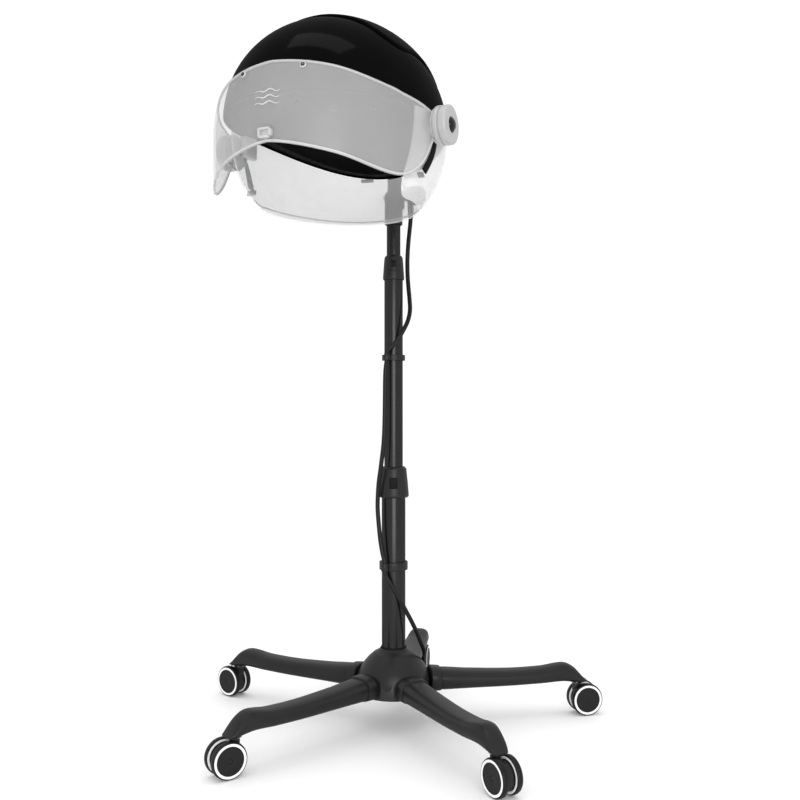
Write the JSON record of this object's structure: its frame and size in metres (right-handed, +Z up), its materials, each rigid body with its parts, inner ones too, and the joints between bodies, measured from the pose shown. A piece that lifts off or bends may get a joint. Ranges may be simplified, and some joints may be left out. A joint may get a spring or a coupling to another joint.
{
  "type": "hood hair dryer",
  "caption": "Floor-standing hood hair dryer: glossy dome with lifting frosted visor and neck guard, tilting on a telescopic column with a star base on twin-wheel casters.",
  "frame": {"origin": "on the floor, below the middle of the stand and hood together", "axes": "+Z up along the column, the hood and visor face -Y, +X to the side of the tilt lock knob"},
  "size_m": [0.6415, 0.6883, 1.0526],
  "materials": {
    "black_plastic": "satin moulded black",
    "caster_tread": "black nylon wheel with a pale ring",
    "black_metal": "black powder coat",
    "steel": "plain",
    "gloss_black": "polished black",
    "matt_black": "fine grain",
    "frosted": "smoked translucent acrylic",
    "frosted_guard": "translucent white acrylic",
    "light_grey": "satin pale grey",
    "cord_rubber": "matt black sheath"
  },
  "bodies": {
    "base": {"hub": "black_plastic", "leg_1": "black_plastic", "leg_2": "black_plastic", "leg_3": "black_plastic", "leg_4": "black_plastic", "leg_5": "black_plastic", "lower_tube": "black_metal", "lower_collar": "black_plastic", "lower_clip": "black_plastic", "cord_middle": "cord_rubber", "cord_lower": "cord_rubber", "cord_coil": "cord_rubber", "plug": "cord_rubber"},
    "caster_1": {"caster_1_swivel": "black_plastic"},
    "caster_1_wheel_a": {"caster_1_wheel_a": "caster_tread"},
    "caster_1_wheel_b": {"caster_1_wheel_b": "caster_tread"},
    "caster_2": {"caster_2_swivel": "black_plastic"},
    "caster_2_wheel_a": {"caster_2_wheel_a": "caster_tread"},
    "caster_2_wheel_b": {"caster_2_wheel_b": "caster_tread"},
    "caster_3": {"caster_3_swivel": "black_plastic"},
    "caster_3_wheel_a": {"caster_3_wheel_a": "caster_tread"},
    "caster_3_wheel_b": {"caster_3_wheel_b": "caster_tread"},
    "caster_4": {"caster_4_swivel": "black_plastic"},
    "caster_4_wheel_a": {"caster_4_wheel_a": "caster_tread"},
    "caster_4_wheel_b": {"caster_4_wheel_b": "caster_tread"},
    "caster_5": {"caster_5_swivel": "black_plastic"},
    "caster_5_wheel_a": {"caster_5_wheel_a": "caster_tread"},
    "caster_5_wheel_b": {"caster_5_wheel_b": "caster_tread"},
    "middle_section": {"middle_tube": "black_metal", "upper_clip": "black_plastic", "upper_collar": "black_plastic", "cord_upper": "cord_rubber"},
    "upper_section": {"upper_tube": "black_metal", "pole_head": "black_plastic", "tilt_bolt": "steel", "cord_gland": "cord_rubber"},
    "lower_button": {"lower_button": "black_plastic"},
    "upper_button": {"upper_button": "black_plastic"},
    "tilt_knob": {"tilt_knob": "black_plastic"},
    "hood": {"tilt_arm": "black_plastic", "outer_dome": "gloss_black", "top_cover": "gloss_black", "control_console": "black_plastic", "inner_shell": "matt_black", "motor": "steel", "heater_ring": "steel", "neck_guard": "frosted_guard", "ear_boss_left": "black_plastic", "ear_boss_right": "black_plastic"},
    "fan": {"fan": "matt_black"},
    "timer_knob": {"timer_knob": "light_grey"},
    "temperature_knob": {"temperature_knob": "light_grey"},
    "power_switch": {"power_switch": "gloss_black"},
    "visor": {"visor": "frosted", "visor_screw_left": "steel", "visor_screw_right": "steel"},
    "ear_knob_left": {"ear_knob_left": "light_grey", "ear_cap_left": "gloss_black"},
    "ear_knob_right": {"ear_knob_right": "light_grey", "ear_cap_right": "gloss_black"}
  },
  "joints": [
    {"name": "caster_1_turn", "type": "hinge", "parent": "base", "child": "caster_1", "pos_m": [-0.05651, 0.32781, 0.04], "axis": [0, 0, 1], "continuous": true},
    {"name": "caster_1_roll_a", "type": "hinge", "parent": "caster_1", "child": "caster_1_wheel_a", "pos_m": [-0.05301, 0.31477, 0.026], "axis": [0.9659, 0.2588, 0], "continuous": true},
    {"name": "caster_1_roll_b", "type": "hinge", "parent": "caster_1", "child": "caster_1_wheel_b", "pos_m": [-0.05301, 0.31477, 0.026], "axis": [0.9659, 0.2588, 0], "continuous": true},
    {"name": "caster_2_turn", "type": "hinge", "parent": "base", "child": "caster_2", "pos_m": [-0.27971, 0.0472, 0.04], "axis": [0, 0, 1], "continuous": true},
    {"name": "caster_2_roll_a", "type": "hinge", "parent": "caster_2", "child": "caster_2_wheel_a", "pos_m": [-0.29291, 0.05001, 0.026], "axis": [-0.2079, -0.9781, 0], "continuous": true},
    {"name": "caster_2_roll_b", "type": "hinge", "parent": "caster_2", "child": "caster_2_wheel_b", "pos_m": [-0.29291, 0.05001, 0.026], "axis": [-0.2079, -0.9781, 0], "continuous": true},
    {"name": "caster_3_turn", "type": "hinge", "parent": "base", "child": "caster_3", "pos_m": [-0.08181, -0.25178, 0.04], "axis": [0, 0, 1], "continuous": true},
    {"name": "caster_3_roll_a", "type": "hinge", "parent": "caster_3", "child": "caster_3_wheel_a", "pos_m": [-0.08877, -0.26336, 0.026], "axis": [0.8572, -0.515, 0], "continuous": true},
    {"name": "caster_3_roll_b", "type": "hinge", "parent": "caster_3", "child": "caster_3_wheel_b", "pos_m": [-0.08877, -0.26336, 0.026], "axis": [0.8572, -0.515, 0], "continuous": true},
    {"name": "caster_4_turn", "type": "hinge", "parent": "base", "child": "caster_4", "pos_m": [0.2637, -0.15597, 0.04], "axis": [0, 0, 1], "continuous": true},
    {"name": "caster_4_roll_a", "type": "hinge", "parent": "caster_4", "child": "caster_4_wheel_a", "pos_m": [0.27495, -0.16342, 0.026], "axis": [0.5519, 0.8339, 0], "continuous": true},
    {"name": "caster_4_roll_b", "type": "hinge", "parent": "caster_4", "child": "caster_4_wheel_b", "pos_m": [0.27495, -0.16342, 0.026], "axis": [0.5519, 0.8339, 0], "continuous": true},
    {"name": "caster_5_turn", "type": "hinge", "parent": "base", "child": "caster_5", "pos_m": [0.27933, 0.20224, 0.04], "axis": [0, 0, 1], "continuous": true},
    {"name": "caster_5_roll_a", "type": "hinge", "parent": "caster_5", "child": "caster_5_wheel_a", "pos_m": [0.29019, 0.21027, 0.026], "axis": [-0.5948, 0.8039, 0], "continuous": true},
    {"name": "caster_5_roll_b", "type": "hinge", "parent": "caster_5", "child": "caster_5_wheel_b", "pos_m": [0.29019, 0.21027, 0.026], "axis": [-0.5948, 0.8039, 0], "continuous": true},
    {"name": "middle_slide", "type": "slide", "parent": "base", "child": "middle_section", "axis": [0, 0, 1], "range_m": [-0.15, 0.08], "deforming": ["cord_middle"]},
    {"name": "upper_slide", "type": "slide", "parent": "middle_section", "child": "upper_section", "axis": [0, 0, 1], "range_m": [-0.03, 0.19], "deforming": ["cord_upper"]},
    {"name": "lower_button_press", "type": "slide", "parent": "base", "child": "lower_button", "axis": [-0.4226, 0.9063, 0], "range_m": [0, 0.0015], "stiffness_N_per_m": 600},
    {"name": "upper_button_press", "type": "slide", "parent": "middle_section", "child": "upper_button", "axis": [-0.4226, 0.9063, 0], "range_m": [0, 0.0012], "stiffness_N_per_m": 600},
    {"name": "tilt_knob_turn", "type": "hinge", "parent": "upper_section", "child": "tilt_knob", "pos_m": [0.063, 0.0379, 0.842], "axis": [1, 0, 0], "range_deg": [0, 180]},
    {"name": "head_tilt", "type": "hinge", "parent": "upper_section", "child": "hood", "pos_m": [0.025, 0.0379, 0.842], "axis": [-1, 0, 0], "range_deg": [-10, 30]},
    {"name": "visor_flip", "type": "hinge", "parent": "hood", "child": "visor", "pos_m": [0.025, -0.1671, 0.884], "axis": [-1, 0, 0], "range_deg": [0, 45]},
    {"name": "ear_knob_left_turn", "type": "hinge", "parent": "hood", "child": "ear_knob_left", "pos_m": [0.195, -0.1671, 0.884], "axis": [1, 0, 0], "range_deg": [0, 180]},
    {"name": "ear_knob_right_turn", "type": "hinge", "parent": "hood", "child": "ear_knob_right", "pos_m": [-0.145, -0.1671, 0.884], "axis": [-1, 0, 0], "range_deg": [0, 180]},
    {"name": "timer_turn", "type": "hinge", "parent": "hood", "child": "timer_knob", "pos_m": [-0.007, 0.00906, 0.98343], "axis": [0, -0.8192, -0.5736], "range_deg": [0, 300]},
    {"name": "temperature_turn", "type": "hinge", "parent": "hood", "child": "temperature_knob", "pos_m": [0.057, 0.00906, 0.98343], "axis": [0, -0.8192, -0.5736], "range_deg": [0, 270]},
    {"name": "switch_rock", "type": "hinge", "parent": "hood", "child": "power_switch", "pos_m": [0.025, 0.00791, 0.98262], "axis": [1, 0, 0], "range_deg": [0, 25]},
    {"name": "fan_spin", "type": "hinge", "parent": "hood", "child": "fan", "pos_m": [0.025, -0.1521, 1.014], "axis": [0, 0, 1], "continuous": true}
  ]
}
